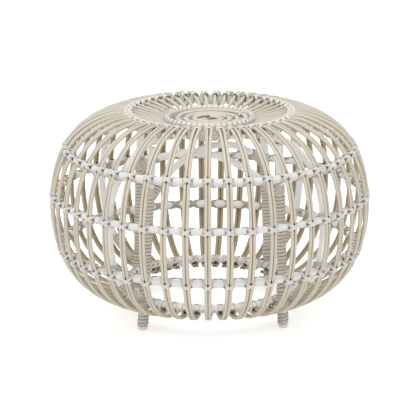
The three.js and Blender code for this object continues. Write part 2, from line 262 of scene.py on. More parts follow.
# the foot cord: the same cord, darker as painted shade, for the lower light at the feet
shadedFootCordFinish = polyethyleneStrand(
    "polyethylene round cord darkened as painted shade", light="#CDC8BE", shade="#BDB6AC", paintedShadeTone="#A9A499",
    creaseShade="#4A4036", edge=(1.7, 3.1), creaseShadeStrength=1.4, gloss=0.6, fibre=0.7,
)
glideFinish = mouldedPolyamide("off-white polyamide glide", "#E6E3DB", "#C8C3B8")
boreFinish = bareTubeInside("bare inside of cut tube", "#2E261D", "#15100C")
print("materials done")

body = {
    "radius": 276,  # outer face of the canes at the belly
    "height": 356.5,
    "seatDip": 9.2,  # top of the seat's rim below the canes' top
    "gap": 0.3,  # clearance between tied tubes
    "pairs": 47,
    "spokeBend": 0.1,  # share of a spoke over which it bends away from the top ring
    "cane": 5.6,  # diameters
    "hoop": 12,
    "arch": 12,
    "coil": 7,
    "leg": 14,
    "legWound": 17.5,
    "footWound": 19.5,
    # outer face of the canes as shares of radius and height, from the cut end to the top ring
    "profile": [
        (0.48, 0.0955), (0.5375, 0.0915), (0.623, 0.0932), (0.792, 0.149),
        (0.896, 0.2309), (0.9583, 0.3296), (0.9982, 0.4712), (1, 0.5989),
        (0.9638, 0.7475), (0.9167, 0.8283), (0.837, 0.906), (0.71, 0.97),
        (0.5109, 1),
    ],
}
# each ring's station of the profile and its diameter
rings = {
    "base_ring": (1, 14), "lower_ring": (5, 14), "belly_ring": (7, 12),
    "shoulder_ring": (9, 14), "top_ring": (12, 14),
}
widestRing = 14
# azimuths in degrees of each leg at the base ring and at its top, and of the hoop outside it
legs = {
    "front_left": (-42, -37, -40.8),
    "back_right": (140.4, 143, 139.6),
    "front_right": (49.7, 49, 49.5),
    "back_left": (231.8, 232, 231.5),
}
frames = {
    "leg_frame_left": ("front_left", "back_right"),
    "leg_frame_right": ("front_right", "back_left"),
}
legTopRadius = 156
parting = {"gap": 0.5, "shares": (0.7, 1, 1)}  # pairs round a leg, from the first station on
# the coil leaves its rim at a share of the first turn and ends in the eye after the last
coil = {"rim": 74, "eye": 16.4, "sink": 3.5, "turns": 4.5, "leave": 0.8, "exit": 8}

pitch = 2 * math.pi / body["pairs"]
caneRadius = body["cane"] / 2
hoopRadius = body["hoop"] / 2
coilRadius = body["coil"] / 2
rimHeight = body["height"] - body["seatDip"] - coilRadius
topStation = len(body["profile"]) - 1


# A point at a radius, a height and an azimuth
def place(radius, height, azimuth):
    return Vector((radius * math.sin(azimuth), -radius * math.cos(azimuth), height))


profile = [Vector((r * body["radius"], z * body["height"])) for r, z in body["profile"]]
spokeFace = rimHeight - coilRadius - body["gap"]
spokeSlope = (profile[-1].y - spokeFace) / (profile[-1].x - coil["rim"])
spokeEnd = Vector((coil["rim"] - coilRadius, spokeFace - coilRadius * spokeSlope))
profile += [profile[-1].lerp(spokeEnd, body["spokeBend"]), spokeEnd]


# The profile's outward normal at a station, half-way between its neighbours' bends
def outward(station):
    here = profile[station]
    into = (here - profile[max(station - 1, 0)]).normalized()
    onward = (profile[min(station + 1, len(profile) - 1)] - here).normalized()
    along = (into + onward).normalized()
    return Vector((along.y, -along.x))


def inset(station, depth):
    return profile[station] - outward(station) * depth


def ringCentre(name):
    station, diameter = rings[name]
    return inset(station, body["cane"] + body["gap"] + diameter / 2)


# Azimuth of a pair at a station: pairs part where they pass a leg
def pairAzimuth(index, radius, station):
    azimuth = index * pitch
    reach = body["legWound"] / 2 + parting["gap"] + body["cane"]
    reach *= parting["shares"][station] if station < len(parting["shares"]) else 0
    shift = 0
    for atRing, _, _ in legs.values():
        turned = (azimuth - math.radians(atRing) + math.pi) % (2 * math.pi) - math.pi
        arc = turned * radius
        shift += math.copysign(math.hypot(arc, reach), arc) - arc
    return azimuth + shift / radius


hoopDepth = body["cane"] + 2 * body["gap"] + widestRing + hoopRadius
baseRing = ringCentre("base_ring")

# Leg axes: outside the base ring at the bottom, under a dome hoop at the top
overLeg = (inset(topStation - 1, hoopDepth), inset(topStation, hoopDepth))
hoopFall = (overLeg[1].y - overLeg[0].y) / (overLeg[0].x - overLeg[1].x)
legTop = (
    overLeg[1].y
    - (legTopRadius + body["leg"] / 2 - overLeg[1].x) * hoopFall
    - hoopRadius * math.hypot(1, hoopFall)
    - body["gap"]
)
legAtRing = baseRing.x + rings["base_ring"][1] / 2 + body["gap"] + body["legWound"] / 2


def legPoint(leg, height):
    atRing, atTop, _ = (math.radians(a) for a in legs[leg])
    low = place(legAtRing, baseRing.y, atRing)
    high = place(legTopRadius, legTop, atTop)
    return low.lerp(high, (height - low.z) / (high.z - low.z))


# A smooth line through points, with a number of steps to each span
def smoothLine(points, steps):
    last = len(points) - 1
    spans = [(b - a).length for a, b in zip(points, points[1:])]
    slopes = []
    for i in range(last + 1):
        if i in (0, last):
            j = min(i, last - 1)
            slopes.append((points[j + 1] - points[j]) / spans[j])
        else:
            before = (points[i] - points[i - 1]) / spans[i - 1]
            after = (points[i + 1] - points[i]) / spans[i]
            slopes.append((before * spans[i] + after * spans[i - 1]) / (spans[i] + spans[i - 1]))
    line = []
    for i in range(last):
        for k in range(steps):
            t = k / steps
            line.append(
                points[i] * (2 * t**3 - 3 * t**2 + 1)
                + slopes[i] * spans[i] * (t**3 - 2 * t**2 + t)
                + points[i + 1] * (3 * t**2 - 2 * t**3)
                + slopes[i + 1] * spans[i] * (t**3 - t**2)
            )
    return [*line, points[-1].copy()]


# A frame at each point: Z along the line, Y towards its up vector
def stopsAlong(points, ups):
    stops = []
    for i, point in enumerate(points):
        ahead = (points[min(i + 1, len(points) - 1)] - points[max(i - 1, 0)]).normalized()
        side = ups[i].cross(ahead).normalized()
        turn = Matrix((side, ahead.cross(side), ahead)).transposed().to_4x4()
        stops.append(Matrix.Translation(point) @ turn)
    return stops


def newShape():
    bm = bmesh.new()
    bm.verts.layers.float_vector.new("grain")
    bm.verts.layers.float.new("shadeMask")
    return bm


weld = 0.01  # corners closer than this are merged, in mm
seamWeld = 0.05  # and at the seams between repeated lashings
sharpFrom = 50  # edges that bend more than this many degrees stay sharp
leastGroove = 0.01


# Extrudes a flattened circle through the stops. The grain layer keeps where each corner is
# in the straightened strip: across (positive towards a partner), outwards and along. Each
# mark is how deep the groove to the partner is and how much painted shade it gets, from 0 to 1.
def sweep(bm, section, stops, side=1.0, start=0.0, bore=0.0, marks=None):
    grain = bm.verts.layers.float_vector["grain"]
    shadeMask = bm.verts.layers.float["shadeMask"]
    marks = marks or [(1.0, 0.0)] * len(stops)
    ring = bmesh.ops.create_circle(bm, segments=section["sides"], radius=0.5)["verts"]
    bmesh.ops.scale(bm, vec=(section["width"], section["depth"], 1), verts=ring)
    for v in ring:
        v[grain] = (v.co.x * side, v.co.y, start)
        v[shadeMask] = marks[0][1]
    bmesh.ops.transform(bm, matrix=stops[0], verts=ring)
    firstEdges = edges = list({e for v in ring for e in v.link_edges})
    length = start
    for i in range(1, len(stops)):
        verts, edges, _ = grow(bm, edges, stops[i] @ stops[i - 1].inverted())
        length += (stops[i].translation - stops[i - 1].translation).length
        groove = marks[i][0] / max(marks[i - 1][0], leastGroove)
        for v in verts:
            v[grain] = (v[grain].x * groove, v[grain].y, length)
            v[shadeMask] = marks[i][1]
    if bore:  # hollow cut ends
        for rim, stop, way in ((firstEdges, stops[0], 1), (edges, stops[-1], -1)):
            narrow = stop @ Matrix.Scale(bore, 4) @ stop.inverted()
            _, rim, faces = grow(bm, rim, narrow)
            deep = Matrix.Translation(stop.to_3x3().col[2] * way * section["width"])
            _, rim, walls = grow(bm, rim, deep)
            floor = bmesh.ops.contextual_create(bm, geom=rim)["faces"]
            for f in (*walls, *floor):
                f.material_index = 1


def grow(bm, edges, change):
    grown = bmesh.ops.extrude_edge_only(bm, edges=edges)["geom"]
    verts = [g for g in grown if isinstance(g, bmesh.types.BMVert)]
    faces = [g for g in grown if isinstance(g, bmesh.types.BMFace)]
    edges = [g for g in grown if isinstance(g, bmesh.types.BMEdge) and g.is_boundary]
    bmesh.ops.transform(bm, matrix=change, verts=verts)
    return verts, edges, faces


# Sweeps a strip round a closed row of points. The row is smoothed with a few of its own
# points repeated at both ends, which are then cut off.
def sweepLoop(bm, section, points, ups):
    rows = [smoothLine([*row[-2:], *row, *row[:2]], 2)[3:-1] for row in (points, ups)]
    sweep(bm, section, stopsAlong(*rows)[1:-1])


# Closes what is open, scales to metres and hands the piece over
def finishPiece(name, bm, finishes, slot, *nodes):
    bmesh.ops.remove_doubles(bm, verts=bm.verts[:], dist=weld)
    bmesh.ops.holes_fill(bm, edges=[e for e in bm.edges if e.is_boundary], sides=0)
    bmesh.ops.recalc_face_normals(bm, faces=bm.faces[:])
    bmesh.ops.scale(bm, vec=(mm, mm, mm), verts=bm.verts[:])
    mesh = bpy.data.meshes.new(name)
    bm.to_mesh(mesh)
    bm.free()
    for finish in finishes:
        mesh.materials.append(finish)
    mesh.polygons.foreach_set("use_smooth", [True] * len(mesh.polygons))
    mesh.set_sharp_from_angle(angle=math.radians(sharpFrom))
    piece = bpy.data.objects.new(name, mesh)
    bpy.context.scene.collection.objects.link(piece)
    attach(piece, "root")
    if nodes:
        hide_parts(*nodes)
    return piece


cane = {
    "strip": {"sides": 10, "width": 6.0, "depth": 5.5},
    "steps": 5,  # sections to a span of the profile
    "bore": 0.4,  # inside of the cut end, as a share of the cane
    "lashShadeReach": 12,  # the painted shade in the groove falls from 1 at a lashing to 0 over this length
    "wobble": 0.18,  # hand-bent canes wander this much
    "shortEnd": 0.6,  # part of the first stretch of the spoke that the shorter cane keeps
}


def canePair(index):
    bm = newShape()
    spokeStations = len(profile) - 1 - topStation
    for side in (1, -1):
        last = len(profile) - 1 if side > 0 else topStation + 1
        points, ups = [], []
        for station in range(last + 1):
            middle = inset(station, caneRadius)
            azimuth = pairAzimuth(index, middle.x, station)
            across = Vector((math.cos(azimuth), math.sin(azimuth), 0))
            closing = max(0, station - topStation) / spokeStations
            offset = side * caneRadius * (1 - closing if side > 0 else 1)
            drift = Vector([random.uniform(-1, 1) * cane["wobble"] for _ in range(3)])
            points.append(place(middle.x, middle.y, azimuth) + across * offset + drift)
            normal = outward(station)
            ups.append(place(normal.x, normal.y, azimuth))
        if side < 0:
            points[-1] = points[-2].lerp(points[-1], cane["shortEnd"])
        line = smoothLine(points, cane["steps"])
        lineUps = [u.normalized() for u in smoothLine(ups, cane["steps"])]
        lashed = [line[station * cane["steps"]] for station, _ in rings.values()]
        marks = []
        for i, point in enumerate(line):
            near = min((point - spot).length for spot in lashed)
            groove = 1 - min(1, max(0, i / cane["steps"] - topStation))
            # painted shade in the groove, falling off away from each lashing
            lashShade = max(0, 1 - near / cane["lashShadeReach"]) if i >= cane["steps"] else 0
            marks.append((groove, lashShade))
        sweep(
            bm, cane["strip"], stopsAlong(line, lineUps), side=side,
            start=random.uniform(0, 9000), bore=cane["bore"], marks=marks,
        )
    return bm


for i in range(body["pairs"]):
    name = "cane_pair_%02d" % (i + 1)
    finishPiece("bent_" + name, canePair(i), [caneFinish, boreFinish], "cane", name)
print("cane pairs done")

ringTube = {
    "sides": 20,
    "stepsPerPair": 8,
    "reach": 16,  # the painted shade falls from 1 at a pair to 0 over this length
    "baseReach": 5.0,
}


# Marks where painted shade goes on a ring, close to the pairs, and on its lashing, behind the
# ring. A ring's grain is the place round the tube.
def markRingShade(bm, centre, normal, azimuths, reach):
    grain = bm.verts.layers.float_vector["grain"]
    shadeMask = bm.verts.layers.float["shadeMask"]
    for v in bm.verts:
        azimuth = math.atan2(v.co.x, -v.co.y)
        near = min(abs((azimuth - a + math.pi) % (2 * math.pi) - math.pi) for a in azimuths)
        off = Vector((math.hypot(v.co.x, v.co.y), v.co.z)) - centre
        v[shadeMask] = max(0, 1 - near * centre.x / reach)
        v[grain] = (off.dot(Vector((-normal.y, normal.x))), off.dot(normal), 0)


def markLashingShade(bm, centre, normal, tube):
    shadeMask = bm.verts.layers.float["shadeMask"]
    for v in bm.verts:
        off = Vector((math.hypot(v.co.x, v.co.y), v.co.z)) - centre
        v[shadeMask] = min(1, max(0, 0.5 - off.dot(normal) / (2 * tube)))


def turnedRing(centre, tubeRadius):
    bm = newShape()
    circle = bmesh.ops.create_circle(bm, segments=ringTube["sides"], radius=tubeRadius)["verts"]
    stand = Matrix.Translation((centre.x, 0, centre.y)) @ Matrix.Rotation(math.pi / 2, 4, "X")
    bmesh.ops.transform(bm, matrix=stand, verts=circle)
    bmesh.ops.spin(
        bm, geom=[*circle, *bm.edges], cent=(0, 0, 0), axis=(0, 0, 1), angle=2 * math.pi,
        steps=ringTube["stepsPerPair"] * body["pairs"], use_merge=True,
    )
    return bm


for name, (station, diameter) in rings.items():
    centre = ringCentre(name)
    bm = turnedRing(centre, diameter / 2)
    azimuths = [pairAzimuth(i, centre.x, station) for i in range(body["pairs"])]
    reach = ringTube["baseReach" if name == "base_ring" else "reach"]
    markRingShade(bm, centre, outward(station), azimuths, reach)
    finishPiece("round_" + name, bm, [ringFinish], "ring_tube", name)
print("rings done")

# Two flat strands wind round each ring in opposite directions, one turn to a pair. They
# cross over the pair on the outside and over the bare ring between pairs on the inside.
lashing = {
    "strip": {"sides": 6, "width": 6.6, "depth": 1.7},
    "bareTurn": 1.3,  # how far beside the pair a strand comes round the ring
    "rise": 3.0,  # how far off the middle a strand reaches the pair's edge
    "cross": 0.7,  # lift of one strand over the other
}
strandLift = 0.7  # share of its half thickness that a strand's middle stands off a tube
topLashing = {**lashing, "strip": {"sides": 6, "width": 8.4, "depth": 1.7}, "rise": 4.6}
baseKnot = {
    "strip": {"sides": 6, "width": 4.8, "depth": 1.7}, "rise": 3.9, "cross": 1.1, "lean": 1.2,
}
hoopKnot = {**lashing, "lean": 0}
rimLashing = {
    "strip": {"sides": 6, "width": 8.4, "depth": 1.7}, "bareTurn": 1.0, "rise": 2.6, "cross": 0.6,
}


# Half of a strand's way past one pair, as points and outward directions: along the ring,
# out towards the pair, and along the pair. It goes from the bare ring's inner side round
# the ring, up the pair's flank and over its face.
def strandHalf(kind, tube, tiedHalf, face, half, lift, insideLift):
    thick = kind["strip"]["depth"] / 2 * strandLift
    bare = tube + thick
    over = tiedHalf + min(kind["bareTurn"], 0.45 * (half - tiedHalf))
    rise = kind["rise"]
    return [
        ((-half, -bare - insideLift, 0), (0, -1, 0)),
        ((-0.45 * half - 0.55 * over, -0.72 * bare, 0.72 * bare), (0, -0.7, 0.7)),
        ((-over, 0, bare), (0, 0, 1)),
        ((-0.5 * (over + tiedHalf), 0.72 * bare, 0.68 * bare), (-0.3, 0.6, 0.7)),
        ((-tiedHalf - thick, face - 0.9 * caneRadius, rise + 0.7), (-0.9, 0.35, 0.2)),
        ((-tiedHalf + 0.7, face - 0.35, rise), (-0.55, 0.83, 0)),
        ((-0.5 * tiedHalf, face + thick, 0.55 * rise), (0, 1, 0)),
        ((0, face + thick + lift, 0), (0, 1, 0)),
    ]


# One strand of one crossing, in the ring's own coordinates, swept at azimuth 0
def strandCell(bm, kind, centre, normal, tube, tiedHalf, face, mirrored):
    half = pitch * centre.x / 2
    lifts = (kind["cross"], 0) if mirrored else (0, kind["cross"])
    first = strandHalf(kind, tube, tiedHalf, face, half, *lifts)
    second = [((-p[0], p[1], -p[2]), (-n[0], n[1], -n[2])) for p, n in reversed(first[:-1])]
    cell = first + second
    flip = -1 if mirrored else 1
    along = Vector((-normal.y, normal.x))
    points, ups = [], []
    for turn, rows in ((-1, cell[-2:-1]), (0, cell), (1, cell[1:2])):
        for p, n in rows:
            azimuth = p[0] / centre.x + turn * pitch
            spot = centre + normal * p[1] + along * p[2] * flip
            points.append(place(spot.x, spot.y, azimuth))
            facing = normal * n[1] + along * n[2] * flip
            tangent = Vector((math.cos(azimuth), math.sin(azimuth), 0))
            ups.append(place(facing.x, facing.y, azimuth) + tangent * n[0])
    sweep(bm, kind["strip"], stopsAlong(points, ups)[1:-1])


mostRigid = 0.45  # share of the way to the next pair
rigidBeside = 2


def ringLashing(kind, centre, normal, tube, tiedHalf, face, azimuths):
    bm = newShape()
    for mirrored in (False, True):
        strandCell(bm, kind, centre, normal, tube, tiedHalf, face, mirrored)
    bmesh.ops.spin(
        bm, geom=[*bm.verts, *bm.edges, *bm.faces], cent=(0, 0, 0), axis=(0, 0, 1),
        angle=2 * math.pi - pitch, steps=body["pairs"] - 1, use_duplicate=True,
    )
    bmesh.ops.remove_doubles(bm, verts=bm.verts[:], dist=seamWeld)
    # each crossing goes where its pair stands, unbent up to a little beside the pair
    rigid = min(mostRigid, (tiedHalf + rigidBeside) / (pitch * centre.x))
    offs = [a - i * pitch for i, a in enumerate(azimuths)]
    for v in bm.verts:
        cell = (math.atan2(v.co.x, -v.co.y) / pitch) % body["pairs"]
        i = math.floor(cell) % body["pairs"]
        share = min(1, max(0, (cell - math.floor(cell) - rigid) / (1 - 2 * rigid)))
        turned = offs[i] + (offs[(i + 1) % body["pairs"]] - offs[i]) * share
        v.co = Matrix.Rotation(turned, 3, "Z") @ v.co
    return bm


# Two closed loops that cross over a tied piece and again behind the tube that carries it.
# The spot's X runs along the tube and its Y points at the tied piece. The crossing behind
# the tube leans round it by an angle.
def crossedLoops(bm, kind, spot, tube, tiedHalf, face):
    thick = kind["strip"]["depth"] / 2 * strandLift
    bare, rise, beside = tube + thick, kind["rise"], tiedHalf + thick
    turned = spot.to_3x3()
    for way in (-1, 1):
        lift = kind["cross"] * (way > 0)
        quarter = [
            ((0, face + thick + lift, 0), (0, 1, 0)),
            ((0.6 * tiedHalf, face + thick * 0.6, 0.6 * rise), (0.3, 0.95, 0)),
            ((beside, 0.75 * face, rise), (0.9, 0.4, 0.1)),
            ((beside + 0.6, 0.3 * bare, 0.95 * bare), (0.3, 0.2, 0.9)),
            ((0.6 * beside, -0.6 * bare, 0.8 * bare), (0, -0.6, 0.8)),
            ((0.25 * beside, -0.97 * bare - lift, 0.3 * bare), (0, -1, 0.2)),
            ((0, -bare - lift, 0), (0, -1, 0)),
        ]
        back = [((-p[0], p[1], -p[2]), (-n[0], n[1], -n[2])) for p, n in quarter[-2:0:-1]]
        points, ups = [], []
        for p, n in quarter + back:
            lean = Matrix.Rotation(-kind["lean"] * max(0, -p[1] / bare), 3, "X")
            points.append(spot @ (lean @ Vector((p[0] * way, p[1], p[2]))))
            ups.append(turned @ (lean @ Vector((n[0] * way, n[1], n[2]))))
        sweepLoop(bm, kind["strip"], points, ups)


# The frame of a crossing: X along a ring, Y by a direction in the profile
def crossing(centre, normal, azimuth):
    tangent = Vector((math.cos(azimuth), math.sin(azimuth), 0))
    facing = place(normal.x, normal.y, azimuth)
    turn = Matrix((tangent, facing, tangent.cross(facing))).transposed().to_4x4()
    return Matrix.Translation(place(centre.x, centre.y, azimuth)) @ turn


for name, (station, diameter) in rings.items():
    centre, normal = ringCentre(name), outward(station)
    azimuths = [pairAzimuth(i, centre.x, station) for i in range(body["pairs"])]
    face = diameter / 2 + body["gap"] + body["cane"]
    if name == "base_ring":  # too close for a running strand: a knot on each pair
        bm = newShape()
        for azimuth in azimuths:
            spot = crossing(centre, normal, azimuth)
            crossedLoops(bm, baseKnot, spot, diameter / 2, body["cane"], face)
    else:
        kind = topLashing if name == "top_ring" else lashing
        bm = ringLashing(kind, centre, normal, diameter / 2, body["cane"], face, azimuths)
    markLashingShade(bm, centre, normal, diameter / 2)
    strand = {"base_ring": baseStrandFinish, "top_ring": topStrandFinish}.get(name, strandFinish)
    finishPiece(name + "_lashing", bm, [strand], "leg_winding")
print("ring lashings done")

coilPiece = {
    "strip": {"sides": 12, "width": 8.3, "depth": 7.4},
    "stepsPerTurn": 40,
    "ties": (-96, 112),  # azimuths in degrees where strands weave through the turns
    "weave": {"sides": 6, "width": 6.2, "depth": 1.5},
    "hidden": 0.05,  # part of a turn at the coil's start that lies inside the rim
    "tiedFrom": 0.9,  # turn from which on the strands take in the coil
    "tieRoom": 0.6,  # room beside a turn where a strand ends round it
}
coilStart = coil["rim"] - coil["exit"]
coilPitch = (coilStart - coil["eye"]) / (coil["turns"] - 1)


def smoothStep(value, low, high):
    t = min(1, max(0, (value - low) / (high - low)))
    return t * t * (3 - 2 * t)


def coilPoint(turn):
    radius = coilStart - (turn - 1) * coilPitch
    if turn < 1:
        radius = coil["rim"] - coil["exit"] * smoothStep(turn, coil["leave"], 1)
    sunk = 1 - smoothStep(radius, coilStart - coilPitch, coilStart)
    return place(radius, rimHeight - coil["sink"] * sunk, turn * 2 * math.pi)


def seatSpiral():
    bm = newShape()
    first, last = coil["leave"] - coilPiece["hidden"], coil["turns"]
    count = round((last - first) * coilPiece["stepsPerTurn"])
    points = [coilPoint(first + (last - first) * k / count) for k in range(count + 1)]
    stops = stopsAlong(points, [Vector((0, 0, 1))] * len(points))
    sweep(bm, coilPiece["strip"], stops, side=0.0, bore=cane["bore"])
    return bm


# Two strands that weave through the coil's turns from the eye to the rim
def coilTies():
    bm = newShape()
    lift = coilPiece["strip"]["depth"] / 2 + coilPiece["weave"]["depth"] / 2
    for degrees in coilPiece["ties"]:
        share = math.radians(degrees) / (2 * math.pi) % 1
        passes = [k + share for k in range(math.ceil(coil["turns"]))]
        turns = [coilPoint(t) for t in passes if coilPiece["tiedFrom"] < t < coil["turns"]]
        across = Vector((math.cos(math.radians(degrees)), math.sin(math.radians(degrees)), 0))
        beyond = place(lift + coilPiece["tieRoom"], 0, math.radians(degrees))
        for way in (1, -1):
            line = []
            for k, turn in enumerate(turns):
                line.append(turn + Vector((0, 0, lift * way * (-1) ** k)) + across * way)
                if k + 1 < len(turns):
                    line.append(turn.lerp(turns[k + 1], 0.5) + across * way)
            # both ends go round the turn that they end on
            ends = []
            for turn, end, out in ((turns[0], line[0], beyond), (turns[-1], line[-1], -beyond)):
                ends.append((turn * 2 - end + across * 2 * way, turn + out + across * way))
            line = smoothLine([*ends[0], *line, *reversed(ends[1])], 4)
            ups = [across.cross(b - a) for a, b in zip(line, [*line[1:], 2 * line[-1] - line[-2]])]
            sweep(bm, coilPiece["weave"], stopsAlong(line, ups))
    return bm


finishPiece("seat_spiral", seatSpiral(), [coilFinish, boreFinish], "coil_cane", "seat_coil")
rimCentre = Vector((coil["rim"], rimHeight))
finishPiece(
    "seat_rim", turnedRing(rimCentre, coilRadius), [strandFinish], "coil_cane", "seat_coil",
)
rimBinding = ringLashing(
    rimLashing, rimCentre, Vector((0, -1)), coilRadius, caneRadius,
    coilRadius + body["gap"] + body["cane"], [i * pitch for i in range(body["pairs"])],
)
finishPiece("seat_rim_lashing", rimBinding, [rimFinish], "leg_winding")
finishPiece("seat_coil_ties", coilTies(), [strandFinish], "leg_winding")
print("seat done")

hoop = {
    "strip": {"sides": 16, "width": 12, "depth": 12},
    "lift": 0.17,  # height of the low ends, as a share of the body's height
    "steps": 5,
    "firstStation": 3,
    "turns": (7, 11),  # stations between which a hoop turns towards its leg's top
}
underSpoke = spokeEnd.y - body["cane"] - body["gap"] - hoopRadius


# A leg's axis at the height of its hoop's low end, and the direction out from there
def hoopFoot(leg):
    low = legPoint(leg, hoop["lift"] * body["height"])
    return low, Vector((low.x, low.y, 0)).normalized()


# Half a dome hoop: from a leg's outer side up inside the rings to the seat's rim
def hoopHalf(leg):
    _, atTop, atHoop = (math.radians(a) for a in legs[leg])
    low, out = hoopFoot(leg)
    beside = body["legWound"] / 2 + body["gap"]
    half = [low + out * beside, low + out * (beside + body["hoop"])]
    for station in range(hoop["firstStation"], topStation + 1):
        middle = inset(station, hoopDepth)
        turn = smoothStep(station, *hoop["turns"])
        half.append(place(middle.x, middle.y, atHoop + (atTop - atHoop) * turn))
    return [*half, place(coil["rim"], underSpoke, atTop)]


hoops = newShape()
for leg, opposite in frames.values():
    line = [*hoopHalf(leg), Vector((0, 0, underSpoke)), *reversed(hoopHalf(opposite))]
    line = smoothLine(line, hoop["steps"])
    across = (line[-1] - line[0]).cross(Vector((0, 0, 1))).normalized()
    sweep(hoops, hoop["strip"], stopsAlong(line, [across] * len(line)))
finishPiece("round_dome_hoops", hoops, [hoopFinish], "hoop_tube", "dome_hoops")

# Knots where a hoop crosses a ring and where a leg passes the base ring
knots = newShape()
for atRing, _, atHoop in legs.values():
    for name in ("lower_ring", "belly_ring", "shoulder_ring"):
        centre, normal = ringCentre(name), outward(rings[name][0])
        tube = rings[name][1] / 2
        face = hoopDepth - body["cane"] - body["gap"] - tube + hoopRadius
        spot = crossing(centre, -normal, math.radians(atHoop))
        crossedLoops(knots, hoopKnot, spot, tube, hoopRadius, face)
    tube = rings["base_ring"][1] / 2
    spot = crossing(baseRing, Vector((1, 0)), math.radians(atRing))
    face = tube + body["gap"] + body["legWound"]
    crossedLoops(knots, hoopKnot, spot, tube, body["legWound"] / 2, face)
finishPiece("hoop_and_leg_knots", knots, [strandFinish], "leg_winding")
print("dome hoops done")

legPiece = {
    "tube": {"sides": 20, "width": 14, "depth": 14},
    "arch": {"sides": 16, "width": 12, "depth": 12},
    "cord": {"sides": 8, "width": 6.4, "depth": 3.6},
    "collar": {"sides": 6, "width": 5.4, "depth": 1.7},
    "cordPitch": 6.1,  # measured on the photograph
    "stepsPerTurn": 12,
    "glideHeight": 6.7,
    "woundTo": 0.659,  # height of the winding's upper end, as a share of the body's height
    "footWoundTo": 29.0,
    "archFoot": 0.64,  # height of the arches' feet, as a share of the body's height
    "archClearance": 24,  # from the hoops' crown down to the upper arch
    "archSteps": 40,
    "archWound": (6, 52),  # distances from each arch end between which it is wound
    "cordGap": 2,  # between one winding and the next
    "collarHeight": 17,  # white strand wound above the cord
    "collarPitch": 4.6,
    "collarRaise": 0.4,
    "hoopWrap": (48, 73),  # heights of the cord round the leg and the hoop's low end
    "hoopWound": 20.5,
    "hoopEndWound": (1, 64),  # distances along each hoop's low end that are wound
    "hoopEndSteps": 8,
    "tangentReach": 0.5,  # how far on both sides a line's direction is taken
}


# A point of a row of points by its distance along the row
def pathAlong(points):
    reached = [0]
    for a, b in zip(points, points[1:]):
        reached.append(reached[-1] + (b - a).length)

    def at(distance):
        i = next((k for k, r in enumerate(reached[1:-1]) if r > distance), len(points) - 2)
        share = (distance - reached[i]) / (reached[i + 1] - reached[i])
        return points[i] + (points[i + 1] - points[i]) * share

    return at


# directions from which a winding starts, on lines that run level and on steep ones
levelGuide, steepGuide, steepFrom = Vector((0.3, 0.2, 0.93)), Vector((0, 1, 0)), 0.9


# A strip wound round a straight or curved line, from one distance along it to another.
# Where the line bends from level to upright, across is the direction square to its plane.
def winding(bm, section, lineAt, first, last, turnPitch, radius, across=None):
    turns = (last - first) / turnPitch
    count = round(turns * legPiece["stepsPerTurn"])
    reach = legPiece["tangentReach"]
    points, ups = [], []
    for k in range(count + 1):
        s = first + (last - first) * k / count
        ahead = (lineAt(s + reach) - lineAt(s - reach)).normalized()
        guide = across or (levelGuide if abs(ahead.z) < steepFrom else steepGuide)
        side = ahead.cross(guide).normalized()
        away = Matrix.Rotation(2 * math.pi * turns * k / count, 3, ahead) @ side
        points.append(lineAt(s) + away * radius)
        ups.append(away)
    sweep(bm, section, stopsAlong(points, ups))


# The arch between two legs: a point by its distance along the arc, and the arc's length
def archLine(leg, opposite, crown):
    foot = legPiece["archFoot"] * body["height"]
    start, end = legPoint(leg, foot), legPoint(opposite, foot)
    half, rise = (end - start).length / 2, crown - foot
    radius = (half * half + rise * rise) / (2 * rise)
    spread = math.asin(half / radius)
    middle, along = (start + end) / 2, (end - start).normalized()

    def at(length):
        angle = length / radius - spread
        drop = radius * (1 - math.cos(angle))
        return middle + along * radius * math.sin(angle) + Vector((0, 0, rise - drop))

    return at, 2 * spread * radius


archCrown = underSpoke - hoopRadius - legPiece["archClearance"] - body["arch"] / 2
for k, (name, pair) in enumerate(frames.items()):
    tubes, cords, feet, collars = newShape(), newShape(), newShape(), newShape()
    archAt, archLength = archLine(*pair, archCrown - k * (body["arch"] + body["gap"]))
    steps = legPiece["archSteps"]
    line = [archAt(archLength * j / steps) for j in range(steps + 1)]
    across = (line[-1] - line[0]).cross(Vector((0, 0, 1))).normalized()
    sweep(tubes, legPiece["arch"], stopsAlong(line, [across] * len(line)))
    sunk = legPiece["cord"]["depth"] / 2
    woundTo, footTo = legPiece["woundTo"] * body["height"], legPiece["footWoundTo"]
    for leg in pair:

        def legAt(height):
            return legPoint(leg, height)

        start = legPiece["glideHeight"] + body["gap"]
        ends = [legAt(start), legAt(legTop)]
        sweep(tubes, legPiece["tube"], stopsAlong(ends, [Vector((1, 0, 0))] * 2))
        for bm, first, last, wound in (
            (feet, start + legPiece["cordGap"], footTo, body["footWound"]),
            (cords, footTo + legPiece["cordGap"], woundTo, body["legWound"]),
            (cords, *legPiece["hoopWrap"], legPiece["hoopWound"]),
        ):
            winding(
                bm, legPiece["cord"], legAt, first, last, legPiece["cordPitch"],
                wound / 2 - sunk,
            )
        hoopEnd = pathAlong(smoothLine(hoopHalf(leg), legPiece["hoopEndSteps"]))
        winding(
            cords, legPiece["cord"], hoopEnd, *legPiece["hoopEndWound"],
            legPiece["cordPitch"], hoopRadius, across=hoopFoot(leg)[1].cross(Vector((0, 0, 1))),
        )
        winding(
            collars, legPiece["collar"], legAt, woundTo + legPiece["cordGap"],
            woundTo + legPiece["collarHeight"], legPiece["collarPitch"],
            body["leg"] / 2 + legPiece["collarRaise"],
        )
    near, far = legPiece["archWound"]
    for first, last in ((near, far), (archLength - near, archLength - far)):
        winding(
            cords, legPiece["cord"], archAt, first, last,
            math.copysign(legPiece["cordPitch"], last - first), body["legWound"] / 2 - sunk,
        )
    finishPiece(name + "_tubes", tubes, [hoopFinish], "hoop_tube", name)
    finishPiece(name + "_cord", cords, [cordFinish], "leg_winding", name)
    finishPiece(name + "_foot_cord", feet, [shadedFootCordFinish], "leg_winding", name)
    finishPiece(name + "_collars", collars, [strandFinish], "leg_winding", name)
